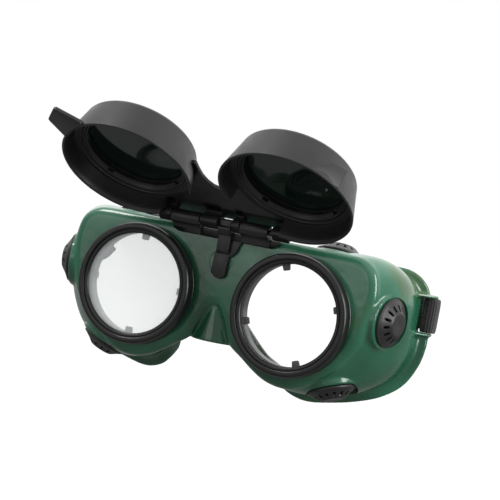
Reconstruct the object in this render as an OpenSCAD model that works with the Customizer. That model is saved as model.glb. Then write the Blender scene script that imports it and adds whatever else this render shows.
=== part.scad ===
// Welding goggles: soft PVC mask, two round 50 mm lenses, and a flip-up front
// that carries two dark shade lenses. Millimetres, +Z up, wearer looks to -Y,
// +X is the wearer's left. The origin is the middle of the face seal, level
// with the lens centres. Inside the modules y counts back from the front
// plane of the lens rings, and seat() moves each piece into this frame.

/* [Mask] */
// Front plane of the lens rings to the rearmost point of the face seal
depth = 52; // [50:1:60]
// Front plane of the lens rings to the flat front wall of the mask
wall_front = 7.1; // [6.5:0.1:8]
// Wall thickness of the PVC mask
wall = 2.2; // [1.6:0.1:2.6]
// Width of the lip that runs round the face seal
lip = 4.5; // [3:0.5:5]

/* [Lenses] */
// Half the distance between the two lens centres
eye_x = 39.3; // [39:0.1:40]
// Diameter of every round lens
lens_d = 50; // [49:0.5:50]
// Clear opening of each lens ring
opening_d = 46.9; // [44:0.1:47]
// Outer diameter of a lens ring
ring_d = 57; // [57:0.1:57.4]
// Thickness of a clear lens
clear_t = 2; // [1.5:0.1:2]
// Thickness of a shade lens
shade_t = 3; // [2.5:0.1:3]

/* [Flip front] */
// Hinge axis behind the front plane of the lens rings
hinge_y = 2.2; // [2:0.1:2.4]
// Hinge axis above the lens centres
hinge_z = 35; // [35:0.1:36]
// Angle between the raised front and the closed front
raise = 124.7; // [100:0.1:126]
// Outer diameter of a cup at its open rim
cup_rim_d = 63.8; // [63:0.1:65]
// Outer diameter of a cup at its closed end
cup_end_d = 54.8; // [54:0.1:56]
// Depth of a cup
cup_depth = 19.3; // [18.5:0.1:20]

/* [Hinge] */
// Diameter of a hinge pin
pin_d = 2.4; // [2:0.1:2.6]
// Outer diameter of the hinge knuckles
knuckle_d = 6.6; // [6:0.1:6.8]
// Radial play round the hinge pins and the screwed rings
play = 0.06; // [0.02:0.01:0.1]

/* [Vents] */
// Diameter of a vent cap
vent_d = 23; // [20:0.5:23]
// Height of a vent cap
vent_h = 5.2; // [4.6:0.1:6]
// Number of slots round a vent cap
vent_slots = 14; // [8:1:16]

/* [Headband] */
// Width of the elastic webbing
band_w = 16; // [12:0.5:16]
// Thickness of the elastic webbing
band_t = 1.5; // [1:0.1:1.6]

/* [Hidden] */
$fn = 96;
SIDES = ["left", "right"];
PLACES = ["top", "side", "bottom"];

// Colours
pvc = [0.09, 0.33, 0.2];
black = [0.07, 0.07, 0.075];
rubber = [0.03, 0.03, 0.03];
steel = [0.6, 0.6, 0.62];
clear = [0.85, 0.93, 0.92, 0.35];
shade = [0.03, 0.09, 0.05];

// Half outline of the mask's front wall, from the brow to the nose: [x, z]
FRONT = [
    [0, 32.5], [22, 32.5], [44, 32.5], [59, 32.5], [68, 31.6], [74.5, 27],
    [77, 19], [76.8, 9.5], [74.8, -1.5], [70.8, -11], [65, -19], [58, -25.5],
    [50.5, -30.8], [44, -33.4], [37, -33.8], [30, -32.2], [23.5, -28.8],
    [17, -24.3], [10, -19.5], [7, -14], [4, -8], [0, -3]
];
// Half outline of the face seal's lip, matched point for point: [x, y, z]
SEAL = [
    [0, 34, 29.5], [22, 35.5, 29.6], [44, 39, 29.7], [62, 43, 30],
    [78, 47, 30], [86.5, 49.5, 25], [90, 51, 16.5], [90.8, 51.9, 6],
    [91.3, 51.9, -4], [89.5, 51, -14], [84.5, 49, -24], [76, 46, -31],
    [65, 44, -35.5], [53, 42, -38.5], [42, 40, -40], [33, 37.5, -37.5],
    [27, 35, -32], [21.5, 28, -27], [17.5, 21, -21.5], [11, 18, -14],
    [6, 17, -8.5], [0, 16.5, -6]
];
outline_steps = 2;
wall_rows = 4;
// How far the side walls swell outwards halfway back
swell = 3.8;
// Height from which the whole front wall can be fanned
brow_hub = 10;

// Vents: middle of the base [x, y, z], and where it faces [polar, azimuth]
VENTS = [
    ["top", [51, 23.5, 30.4], [14, 90]],
    ["side", [81.2, 20.5, 5], [92, -13]],
    ["bottom", [58.4, 24, -30.4], [157, -12]]
];
vent_hole_d = 16;
valve_d = 15.6;

lens_r = lens_d / 2;
opening_r = opening_d / 2;
ring_r = ring_d / 2;
barrel_r = 26.4;
flange_r = 28;
lens_front = 1.5;
lens_back = lens_front + clear_t;
gasket_t = 1;
seat_y = lens_back + gasket_t;
tab_len = 2.8;
tab_w = 3.2;

rim_y = 6.7;
cup_end_y = rim_y - cup_depth;
cup_lip = 1.8;
cover_t = 1.2;
shade_front = cup_end_y + cup_lip + cover_t;
shade_back = shade_front + shade_t;
shade_gasket_back = shade_back + 0.8;
shade_bore_r = 26.2;
ledge_y = -2;

web_front = -5.2;
web_back = -3.2;
strip_z = 38;
rim_gap_x = 30;
rim_gap_z = -2.2;
// Half of the web's lower edge between the cups: [x, z]
SADDLE = [[20, 10.5], [16.5, 11.5], [13, 13.5], [9, 15.2], [4, 16], [0, 16]];
knuckle_r = knuckle_d / 2;
ear_flat = 2;
pin_r = pin_d / 2;
// Spans along X of the bracket's knuckles and the front's ears
KNUCKLES = [[-26, -13.4], [8.8, 21]];
EARS = [[-33, -26.4], [-11.4, -2.8], [4.2, 8.4], [24.4, 32.6]];
PINS = [[-32.4, -3.2], [4.6, 32]];
// Span along X of the bracket's tongue, between the two inner ears
TONGUE = [-2.4, 3.8];
// Foot of the tongue and the fin beside it: [x, z]
FOOT = [
    [-3.2, 21.5], [-3.7, 12.2], [-1.6, 10.3], [0.8, 9.8], [2.6, 10.3], [3.7, 11.8],
    [3.9, 21.5]
];
FIN = [[3.6, 20], [5.1, 20.8], [7.1, 23], [8.9, 28.5], [3.6, 28.5]];
plate_x = [-26, 28];

bar_x = 90;
bar_y = 50;
bar_r = 1.8;
lug_z = [0.8, 20.2];
lug_t = 1.5;
band_z = (lug_z[0] + lug_z[1]) / 2;
wrap_r = bar_r + 0.3 + band_t / 2;

// Middle line of the webbing: [x, y, z, lean of its width from upright to +Y].
// WRAP goes round the left lug's bar; the runs meet at the middle of the band.
WRAP = [
    [bar_x - wrap_r, bar_y + 3.5, band_z, 0],
    [bar_x - wrap_r, bar_y, band_z, 0],
    [bar_x - wrap_r * 0.7, bar_y - wrap_r * 0.7, band_z, 0],
    [bar_x, bar_y - wrap_r, band_z, 0],
    [bar_x + wrap_r * 0.7, bar_y - wrap_r * 0.7, band_z, 0],
    [bar_x + wrap_r, bar_y, band_z, 0],
    [bar_x + wrap_r, bar_y + 3, band_z, 0],
    [bar_x + 1.2, bar_y + 7, band_z, 0]
];
LEFT_RUN = [
    [bar_x - 3, bar_y + 10, band_z + 0.5, 2], [78, 60, 12, 8], [70, 58, 17, 24],
    [60, 54, 22.5, 48], [46, 49.5, 27.8, 75], [32, 46.5, 30.2, 88],
    [20, 45.8, 30.6, 90], [0, 45.8, 30.6, 90]
];
RIGHT_RUN = [
    [-20, 45.8, 30.6, 90], [-32, 46.5, 30.8, 88], [-48, 50.5, 30, 84],
    [-64, 55, 27.5, 68], [-77, 59, 23, 42], [-85, 60, 17, 18], [-88, 58, 12, 3]
];
band_steps = 3;
slider_at = [0, 45.8, 30.6];

// Hinge bracket fixings in the mask's front wall
PIN_HOLES = [-9, 6.4];
pin_hole_z = 29.8;
rivet_r = 1.5;
boss_z = 17.5;

// --- curves -------------------------------------------------------------

function mirror_x(p) = len(p) == 2 ? [-p[0], p[1]] : [-p[0], p[1], p[2]];

// A half outline closed with its mirror image
function closed(half) = concat(
    half,
    [for (i = [len(half) - 2 : -1 : 1]) mirror_x(half[i])]
);

// Catmull-Rom point between b and c
function spline_at(a, b, c, d, t) = 0.5 * (
    2 * b + (c - a) * t + (2 * a - 5 * b + 4 * c - d) * t * t
    + (3 * b - a - 3 * c + d) * t * t * t
);

function smooth_loop(keys, steps) = let (n = len(keys)) [
    for (i = [0 : n - 1], s = [0 : steps - 1])
        spline_at(keys[(i + n - 1) % n], keys[i], keys[(i + 1) % n],
                  keys[(i + 2) % n], s / steps)
];

function smooth_path(keys, steps) = let (n = len(keys)) concat(
    [for (i = [0 : n - 2], s = [0 : steps - 1])
        spline_at(keys[max(i - 1, 0)], keys[i], keys[i + 1],
                  keys[min(i + 2, n - 1)], s / steps)],
    [keys[n - 1]]
);

// Outward direction in the XZ plane at each point of a loop
function outward(loop) = let (n = len(loop)) [
    for (i = [0 : n - 1])
        let (
            a = loop[(i + n - 1) % n], b = loop[(i + 1) % n],
            dx = b[0] - a[0], dz = b[2] - a[2], l = norm([dx, dz])
        )
        [-dz / l, 0, dx / l]
];

function inset(loop, d, dy) = let (n = outward(loop)) [
    for (i = [0 : len(loop) - 1]) loop[i] - n[i] * d + [0, dy, 0]
];

function reversed(list) = [for (i = [len(list) - 1 : -1 : 0]) list[i]];

function saddle(dz) = [
    for (p = concat(SADDLE, reversed([for (q = SADDLE) if (q[0] > 0) mirror_x(q)])))
        [p[0], p[1] + dz]
];

function between(a, b, t) = [for (i = [0 : len(a) - 1]) a[i] * (1 - t) + b[i] * t];

// Moves a wall ring outwards at the temples, most halfway back
function swollen(ring, t) = let (n = outward(ring)) [
    for (i = [0 : len(ring) - 1])
        let (side = min(1, max(0, (abs(ring[i][0]) - 35) / 20)))
        ring[i] + n[i] * swell * side * sin(180 * t)
];

// Closed skin over rings of equal length, each end fanned from its own hub
module skin(rings, hubs) {
    n = len(rings[0]);
    m = len(rings);
    points = concat([for (r = rings) each r], hubs);
    faces = [
        for (i = [0 : n - 1])
            let (j = (i + 1) % n)
            each concat(
                [for (k = [0 : m - 2]) each [
                    [k * n + i, k * n + j, (k + 1) * n + i],
                    [k * n + j, (k + 1) * n + j, (k + 1) * n + i]
                ]],
                [[m * n, j, i], [m * n + 1, (m - 1) * n + i, (m - 1) * n + j]]
            )
    ];
    polyhedron(points, faces, convexity = 8);
}

// --- placing ------------------------------------------------------------

module seat() {
    translate([0, -depth, 0]) children();
}

function sign_of(side) = side == "left" ? 1 : -1;

module at_eye(side) {
    seat() translate([sign_of(side) * eye_x, 0, 0]) rotate([-90, 0, 0]) children();
}

// Swings a piece drawn on the closed front up to the raised pose
module raised() {
    seat() translate([0, hinge_y, hinge_z]) rotate([-raise, 0, 0])
        translate([0, -hinge_y, -hinge_z]) children();
}

module in_cup(side) {
    raised() translate([sign_of(side) * eye_x, 0, 0]) rotate([-90, 0, 0]) children();
}

module at_vent(v, side) {
    mirror([side == "right" ? 1 : 0, 0, 0]) translate(v[1])
        rotate([0, 0, v[2][1]]) rotate([0, v[2][0], 0]) children();
}

module mirrored() {
    children();
    mirror([1, 0, 0]) children();
}

module rod_x(x0, x1, r) {
    translate([x0, hinge_y, hinge_z]) rotate([0, 90, 0]) cylinder(r = r, h = x1 - x0);
}

module tube(r_out, r_in, y0, y1) {
    translate([0, 0, y0]) difference() {
        cylinder(r = r_out, h = y1 - y0);
        translate([0, 0, -1]) cylinder(r = r_in, h = y1 - y0 + 2);
    }
}

// --- mask ---------------------------------------------------------------

module mask_shell() {
    front = [for (p = smooth_loop(closed(FRONT), outline_steps)) [p[0], wall_front, p[1]]];
    seal = smooth_loop(closed(SEAL), outline_steps);
    side_start = inset(front, 0, 3);
    side_end = inset(seal, lip, -5);
    inner_start = inset(front, wall + 0.4, wall + 1.4);
    inner_end = inset(seal, lip + wall, -4);
    outer = [for (k = [0 : wall_rows]) let (t = k / wall_rows)
        swollen(between(side_start, side_end, t), t)];
    inner = [for (k = [wall_rows : -1 : 0]) let (t = k / wall_rows)
        swollen(between(inner_start, inner_end, t), t)];
    rings = reversed(concat(
        [inset(front, 3, 0), inset(front, 1.2, 0.3), inset(front, 0.3, 1.3)],
        outer,
        [inset(seal, lip * 0.7, -3), inset(seal, 0.4, -2.4), inset(seal, 0, -1.4),
         inset(seal, 0.5, -0.3), inset(seal, 1.6, 0), inset(seal, lip + wall - 0.3, -0.6)],
        inner,
        [inset(front, wall + 2.6, wall)]
    ));
    skin(rings, [[0, wall_front + wall, brow_hub], [0, wall_front, brow_hub]]);
}

// Half cone that covers the wearer's nose between the two lobes
module nose_cover() {
    difference() {
        hull() {
            translate([0, 11.6, -4]) cylinder(r = 3, h = 1, $fn = 32);
            translate([0, 20.5, -20.5]) cylinder(r = 13, h = 1, $fn = 32);
        }
        hull() {
            translate([0, 12.6, -6]) cylinder(r = 2, h = 1, $fn = 32);
            translate([0, 21.4, -21.5]) cylinder(r = 11.4, h = 1, $fn = 32);
        }
        translate([-20, 19, -30]) cube([40, 20, 30]);
    }
}

// Strap lug: two prongs with an upright bar between them
module lug() {
    arm = [[78, 37], [82, 35], [92.6, 46], [92.6, 52], [84, 52], [80, 48]];
    for (z = [lug_z[0], lug_z[1] - lug_t])
        translate([0, 0, z]) linear_extrude(lug_t) polygon(arm);
    translate([0, 0, lug_z[0]]) linear_extrude(lug_z[1] - lug_z[0])
        polygon([[79, 40], [80.5, 38.4], [86, 43.5], [86, 45.5], [82, 46.5], [80, 45]]);
    translate([bar_x, bar_y, lug_z[0]]) cylinder(r = bar_r, h = lug_z[1] - lug_z[0]);
}

module lug_window() {
    translate([85.6, 44, lug_z[0] + lug_t])
        cube([12, 12, lug_z[1] - lug_z[0] - 2 * lug_t]);
}

module vent_pad() {
    translate([0, 0, -4]) cylinder(r = vent_d / 2 + 1.6, h = 3.9);
}

// Round bore that widens at a step: r0 from z0 to z1, then r1 up to z2
module stepped_bore(r0, z0, r1, z1, z2) {
    rotate_extrude() polygon([[0, z0], [r0, z0], [r0, z1], [r1, z1], [r1, z2], [0, z2]]);
}

module frame_body() {
    color(pvc) seat() difference() {
        union() {
            difference() {
                mask_shell();
                mirrored() lug_window();
            }
            nose_cover();
            mirrored() {
                lug();
                for (v = VENTS) at_vent(v, "left") vent_pad();
            }
        }
        mirrored() {
            translate([eye_x, 0, 0]) rotate([-90, 0, 0]) stepped_bore(
                barrel_r + 0.8, 0, flange_r + 0.3, wall_front + wall + 0.1, 14);
            for (v = VENTS) at_vent(v, "left") stepped_bore(
                vent_hole_d / 2, -9, vent_d / 2 + 0.6, 0, 5);
        }
        for (x = PIN_HOLES) fixing_hole(x, pin_hole_z, 0);
        fixing_hole(0, boss_z, 0);
    }
}

// --- lens holders -------------------------------------------------------

module eye_barrel(side) {
    color(black) at_eye(side) {
        difference() {
            union() {
                cylinder(r = barrel_r, h = wall_front + 0.2);
                translate([0, 0, wall_front + 0.2]) cylinder(r = barrel_r + 0.6, h = wall + 0.2);
                translate([0, 0, wall_front + wall + 0.3]) cylinder(r = flange_r, h = 1.6);
            }
            translate([0, 0, -1]) cylinder(r = opening_r, h = 20);
            translate([0, 0, -1]) cylinder(r = lens_r + 0.15, h = seat_y + 1);
            translate([0, 0, -1]) cylinder(r = barrel_r + 1, h = 2.6);
        }
        for (a = [0 : 90 : 270]) rotate([0, 0, a - (side == "left" ? 17 : 0)])
            translate([opening_r - tab_len, -tab_w / 2, seat_y + 0.3])
                cube([tab_len + 1, tab_w, 1.4]);
    }
}

module eye_ring(side) {
    color(black) at_eye(side) rotate_extrude() polygon([
        [opening_r, 0.9], [opening_r + 1.3, -0.3], [ring_r - 1.4, -0.3],
        [ring_r - 0.5, 0.1], [ring_r, 1], [ring_r, wall_front - 0.4],
        [barrel_r + play, wall_front - 0.4], [barrel_r + play, lens_front],
        [opening_r, lens_front]
    ]);
}

module clear_lens(side) {
    color(clear) at_eye(side) translate([0, 0, lens_front + 0.02])
        cylinder(r = lens_r, h = clear_t - 0.04);
}

module eye_gasket(side) {
    color(rubber) at_eye(side) tube(lens_r, opening_r + 0.2, lens_back, seat_y);
}

// --- vents --------------------------------------------------------------

module vent_cap(place, side) {
    r = vent_d / 2;
    top_r = 5.2;
    color(black) seat() for (v = VENTS) if (v[0] == place) at_vent(v, side) difference() {
        rotate_extrude() polygon([
            [0, vent_h - 1.5], [top_r - 0.4, vent_h - 1.5], [r - 2.4, 0.6],
            [r - 2.4, 0.02], [r, 0.02], [r, 1.4], [r - 1, 2],
            [top_r + 0.5, vent_h - 0.3], [top_r, vent_h], [0, vent_h]
        ]);
        for (i = [0 : vent_slots - 1]) rotate([0, 0, i * 360 / vent_slots])
            translate([top_r + 0.9, -0.7, 1.9]) cube([3, 1.4, vent_h]);
    }
}

// Rubber valve disc on a pierced plug that fills the hole under a cap
module vent_valve(place, side) {
    color(rubber) seat() for (v = VENTS) if (v[0] == place) at_vent(v, side) {
        difference() {
            translate([0, 0, -2.2]) cylinder(d = valve_d, h = 2.2);
            translate([0, 0, -1]) cylinder(r = valve_d / 2 - 1.2, h = 2);
            for (a = [0 : 60 : 300]) rotate([0, 0, a]) translate([4.2, 0, -3])
                cylinder(r = 1.4, h = 3);
        }
        translate([0, 0, -1.5]) cylinder(r = 1.8, h = 2);
        translate([0, 0, 0.4]) cylinder(r = valve_d / 2 - 1.6, h = 0.6);
    }
}

// --- flip front ---------------------------------------------------------

module cup_profile() {
    rim_r = cup_rim_d / 2;
    end_r = cup_end_d / 2;
    rotate_extrude() polygon([
        [rim_r, rim_y], [rim_r - 4.1, cup_end_y + 1.3], [end_r - 1, cup_end_y + 0.2],
        [end_r - 1.6, cup_end_y], [opening_r, cup_end_y], [opening_r, cup_end_y + cup_lip],
        [lens_r + 0.15, cup_end_y + cup_lip], [lens_r + 0.15, shade_gasket_back],
        [shade_bore_r, shade_gasket_back], [shade_bore_r, ledge_y],
        [ring_r + 0.7, ledge_y], [rim_r - 1.7, rim_y - 1.2], [rim_r - 1.2, rim_y]
    ]);
}

// Both cups. Their rims stop where they face each other, over the web.
module cups() {
    difference() {
        for (s = [-1, 1]) translate([s * eye_x, 0, 0]) rotate([-90, 0, 0]) cup_profile();
        translate([-rim_gap_x, ledge_y, rim_gap_z])
            cube([2 * rim_gap_x, rim_y - ledge_y + 1, 40]);
    }
}

// Flat web between the cups, in the XZ plane of the closed front, with a
// strip between the outer ears that covers the knuckles
module web_outline() {
    ear_left = EARS[3][0];
    ear_right = EARS[0][1];
    polygon(concat(saddle(0), [
        [-42, 20], [-36, 32.3], [ear_right, 32.3], [ear_right, strip_z],
        [ear_left, strip_z], [ear_left, 32.3], [36, 32.3], [42, 20]
    ]));
}

// Wall that stands on the web's lower edge and bridges the two cups
module saddle_wall() {
    upright_slab(web_front - 6.3, web_front + 0.5)
        polygon(concat(saddle(0), reversed(saddle(1.8))));
}

module upright_slab(y0, y1) {
    translate([0, y1, 0]) rotate([90, 0, 0]) linear_extrude(y1 - y0) children();
}

// Ear with a flat towards the mask
module ear(x0, x1) {
    difference() {
        rod_x(x0, x1, knuckle_r);
        translate([x0 - 1, hinge_y + ear_flat, hinge_z - 5]) cube([x1 - x0 + 2, 5, 10]);
    }
    translate([x0, web_front, 28]) cube([x1 - x0, web_back - web_front, hinge_z - 28]);
    translate([x0, web_front, hinge_z - 1]) cube([x1 - x0, hinge_y - web_front, knuckle_r + 1]);
}

module flip_front() {
    color(black) raised() difference() {
        union() {
            cups();
            difference() {
                union() {
                    upright_slab(web_front, web_back) web_outline();
                    saddle_wall();
                }
                for (s = [-1, 1]) translate([s * eye_x, -20, 0]) rotate([-90, 0, 0])
                    cylinder(r = 27.2, h = 40);
            }
            skirt_wall();
            for (e = EARS) ear(e[0], e[1]);
            pull_tab();
            side_pad();
        }
        for (p = PINS) rod_x(p[0] - 0.2, p[1] + 0.2, pin_r + play);
    }
}

// Stiffening wall along the hinge side of the web
module skirt_wall() {
    for (x = [[-46, -rim_gap_x], [rim_gap_x, 46]]) difference() {
        translate([x[0], web_front, 29.8]) cube([x[1] - x[0], rim_y - web_front - 1.5, 1.7]);
        for (s = [-1, 1]) translate([s * eye_x, -20, 0]) rotate([-90, 0, 0])
            cylinder(r = cup_rim_d / 2 - 1.2, h = 40);
    }
}

module pull_tab() {
    upright_slab(rim_y - 2, rim_y) polygon([
        [-64.9, -16.9], [-66, -17.6], [-71.7, -28.8], [-64.7, -36.9], [-54.2, -29.8],
        [-53, -27.5], [-59.7, -23]
    ]);
}

// Flat boss on the outer wall of the left cup, parallel to its axis
module side_pad() {
    translate([eye_x, 0, 0]) rotate([0, 44, 0]) difference() {
        translate([26.3, 0, 0]) rotate([90, 0, 90]) linear_extrude(5)
            polygon([[6.1, -6.8], [-3.5, 1.2], [-4.3, 9.2], [6.1, 8.4]]);
        translate([0, -20, 0]) rotate([-90, 0, 0]) cylinder(r = 27.2, h = 40);
        translate([0, ledge_y - 0.01, 0]) rotate([-90, 0, 0])
            cylinder(r1 = ring_r + 0.75, r2 = cup_rim_d / 2 - 1.6, h = rim_y - ledge_y);
    }
}

module hinge_pin(i) {
    color(steel) raised() {
        rod_x(PINS[i][0], PINS[i][1], pin_r);
    }
}

module shade_lens(side) {
    color(shade) in_cup(side) translate([0, 0, shade_front + 0.02])
        cylinder(r = lens_r, h = shade_t - 0.04);
}

module cover_lens(side) {
    color(clear) in_cup(side) translate([0, 0, shade_front - cover_t + 0.02])
        cylinder(r = lens_r, h = cover_t - 0.04);
}

module shade_gasket(side) {
    color(rubber) in_cup(side) tube(lens_r, opening_r + 0.2, shade_back, shade_gasket_back);
}

module shade_ring(side) {
    r = shade_bore_r - play;
    color(black) in_cup(side) difference() {
        rotate_extrude() polygon([
            [opening_r, shade_gasket_back + 0.02], [r, shade_gasket_back + 0.02],
            [r, ledge_y - 0.4], [r - 1.1, ledge_y - 0.4], [r - 1.6, ledge_y - 1.6],
            [opening_r, ledge_y - 1.6]
        ]);
        for (a = [45 : 90 : 315]) rotate([0, 0, a])
            translate([opening_r - 1, -1.5, ledge_y - 2.6]) cube([2.2, 3, 4]);
    }
}

// --- hinge bracket ------------------------------------------------------

module fixing_hole(x, z, y) {
    translate([x, y, z]) rotate([-90, 0, 0]) cylinder(r = rivet_r, h = 12);
}

module bracket_knuckle(x0, x1) {
    difference() {
        union() {
            rod_x(x0, x1, knuckle_r);
            translate([x0, hinge_y, hinge_z - 7.1]) cube([x1 - x0, wall_front - hinge_y - 0.05, 7.1]);
        }
        translate([x0 - 1, hinge_y - 5, hinge_z - 20]) cube([x1 - x0 + 2, 7, 20 - knuckle_r - 0.6]);
    }
}

module hinge_bracket() {
    back = wall_front - 0.05;
    tongue_w = TONGUE[1] - TONGUE[0];
    color(black) seat() difference() {
        union() {
            translate([plate_x[0], back - 1.85, 27.9])
                cube([plate_x[1] - plate_x[0], 1.85, 3.9]);
            for (k = KNUCKLES) bracket_knuckle(k[0], k[1]);
            translate([TONGUE[0], hinge_y - 2.2, 30]) cube([tongue_w, 6.9, 7.6]);
            translate([TONGUE[0], 3.4, 21.5]) cube([tongue_w, back - 3.4, 9]);
            upright_slab(back - 1.85, back) polygon(FIN);
            upright_slab(back - 2, back) polygon(FOOT);
        }
        for (k = KNUCKLES) rod_x(k[0] - 1, k[1] + 1, pin_r + play);
        for (x = PIN_HOLES) fixing_hole(x, pin_hole_z, 0);
        fixing_hole(0, boss_z, wall_front - 1.2);
        for (s = [-1, 1]) translate([s * eye_x, -5, 0]) rotate([-90, 0, 0])
            cylinder(r = cup_rim_d / 2 + 0.3, h = wall_front + 6);
    }
}

// Two drive pins into the brow, and a rivet at the foot of the tongue
module bracket_rivets() {
    shank = rivet_r - 0.02;
    color(steel) seat() {
        for (x = PIN_HOLES) translate([x, wall_front - 1.7, pin_hole_z])
            rotate([-90, 0, 0]) cylinder(r = shank, h = 6.4);
        translate([0, 0, boss_z]) rotate([-90, 0, 0]) {
            translate([0, 0, wall_front - 1.15]) cylinder(r = shank, h = wall + 2.65);
            translate([0, 0, wall_front + wall + 0.1]) cylinder(r = 3, h = 1.2);
        }
    }
}

// --- headband -----------------------------------------------------------

// One ribbon cross-section, square to its path
function ribbon_ring(c, tangent, lean, w, t) =
    let (
        up = [0, sin(lean), cos(lean)],
        n = cross(tangent, up) / norm(cross(tangent, up)),
        b = cross(n, tangent)
    )
    [c - b * w / 2 - n * t / 2, c + b * w / 2 - n * t / 2,
     c + b * w / 2 + n * t / 2, c - b * w / 2 + n * t / 2];

module headband() {
    far_wrap = [for (k = reversed(WRAP)) [-k[0], k[1], k[2], k[3]]];
    path = smooth_path(concat(WRAP, LEFT_RUN, RIGHT_RUN, far_wrap), band_steps);
    n = len(path);
    at = [for (p = path) [p[0], p[1], p[2]]];
    rings = [
        for (i = [0 : n - 1])
            let (d = at[min(i + 1, n - 1)] - at[max(i - 1, 0)])
            ribbon_ring(at[i], d / norm(d), path[i][3], band_w, band_t)
    ];
    color(rubber) seat() skin(reversed(rings), [at[n - 1], at[0]]);
}

// Two-slot adjuster that slides along the band
module headband_slider() {
    color(black) seat() translate(slider_at) difference() {
        translate([-6, -10.5, -2.2]) cube([12, 21, 4.4]);
        translate([-7, -band_w / 2 - 0.4, -band_t / 2 - 0.4])
            cube([14, band_w + 0.8, band_t + 0.8]);
        for (x = [-3.8, 1.2]) translate([x, -band_w / 2 - 0.4, -3]) cube([2.6, band_w + 0.8, 6]);
    }
}

frame_body();
hinge_bracket();
bracket_rivets();
flip_front();
hinge_pin(1);  // hinge_pin_left
hinge_pin(0);  // hinge_pin_right
for (s = SIDES) {
    eye_barrel(s);
    eye_ring(s);
    clear_lens(s);
    eye_gasket(s);
    shade_lens(s);
    cover_lens(s);
    shade_ring(s);
    shade_gasket(s);
    for (p = PLACES) {
        vent_cap(p, s);
        vent_valve(p, s);
    }
}
headband();
headband_slider();
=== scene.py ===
import bpy
import bmesh
import math
import numpy as np
from mathutils import Matrix, Vector


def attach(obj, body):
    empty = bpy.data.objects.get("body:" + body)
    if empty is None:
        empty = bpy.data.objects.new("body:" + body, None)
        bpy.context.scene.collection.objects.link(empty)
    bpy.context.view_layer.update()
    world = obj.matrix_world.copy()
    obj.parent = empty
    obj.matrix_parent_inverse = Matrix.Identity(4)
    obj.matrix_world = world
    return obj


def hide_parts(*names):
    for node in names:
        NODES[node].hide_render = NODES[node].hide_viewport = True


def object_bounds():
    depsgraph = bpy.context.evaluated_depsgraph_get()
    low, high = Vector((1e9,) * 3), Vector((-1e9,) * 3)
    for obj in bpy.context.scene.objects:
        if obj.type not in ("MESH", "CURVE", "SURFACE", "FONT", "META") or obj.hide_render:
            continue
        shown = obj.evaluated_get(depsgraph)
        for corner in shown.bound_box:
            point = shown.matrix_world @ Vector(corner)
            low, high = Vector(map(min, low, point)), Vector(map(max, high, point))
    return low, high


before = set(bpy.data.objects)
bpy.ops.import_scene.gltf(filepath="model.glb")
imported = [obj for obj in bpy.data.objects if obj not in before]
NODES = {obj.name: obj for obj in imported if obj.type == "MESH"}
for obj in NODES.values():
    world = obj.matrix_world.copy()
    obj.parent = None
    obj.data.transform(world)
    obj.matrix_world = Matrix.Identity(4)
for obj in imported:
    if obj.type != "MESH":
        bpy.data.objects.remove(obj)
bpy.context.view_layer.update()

# Sizes, in millimetres, as the CAD part has them. y counts back from the front
# plane of the lens rings, and the row frame's origin is DEPTH behind it.
DEPTH = 52.0
EYE_X = 39.3
HINGE = (2.2, 35.0)
RAISE = math.radians(-124.7)
WALL_Y = 7.1
WALL = 2.2
LIP = 4.5
SWELL = 3.8
ROUND_R = 4.2
LENS_R = 25.0
OPEN_R = 23.45
RING_R = 28.5
BARREL_R = 26.4
FLANGE_R = 28.0
BORE_R = 26.9
VENT_H = 5.2
VENT_PAD_R = 13.1
VENT_SEAT_R = 12.1
VENT_HOLE_R = 8
VENT_SLOTS = 14
LUG_Z = (0.8, 20.2)
STRAP_BAR = (90, 50)
KNUCKLE_R = 3.3
PIN_HOLE_R = 1.26
SIDES = {"left": 1, "right": -1}

FRONT = [
    (0, 32.5), (22, 32.5), (44, 32.5), (59, 32.5), (68, 31.6), (74.5, 27),
    (77, 19), (76.8, 9.5), (74.8, -1.5), (70.8, -11), (65, -19), (58, -25.5),
    (50.5, -30.8), (44, -33.4), (37, -33.8), (30, -32.2), (23.5, -28.8),
    (17, -24.3), (10, -19.5), (7, -14), (4, -8), (0, -3)]
SEAL = [
    (0, 34, 29.5), (22, 35.5, 29.6), (44, 39, 29.7), (62, 43, 30),
    (78, 47, 30), (86.5, 49.5, 25), (90, 51, 16.5), (90.8, 51.9, 6),
    (91.3, 51.9, -4), (89.5, 51, -14), (84.5, 49, -24), (76, 46, -31),
    (65, 44, -35.5), (53, 42, -38.5), (42, 40, -40), (33, 37.5, -37.5),
    (27, 35, -32), (21.5, 28, -27), (17.5, 21, -21.5), (11, 18, -14),
    (6, 17, -8.5), (0, 16.5, -6)]
VENTS = {
    "top": ((51, 23.5, 30.4), 14, 90),
    "side": ((81.2, 20.5, 5), 92, -13),
    "bottom": ((58.4, 24, -30.4), 157, -12)}


# --- materials -----------------------------------------------------------

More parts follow.
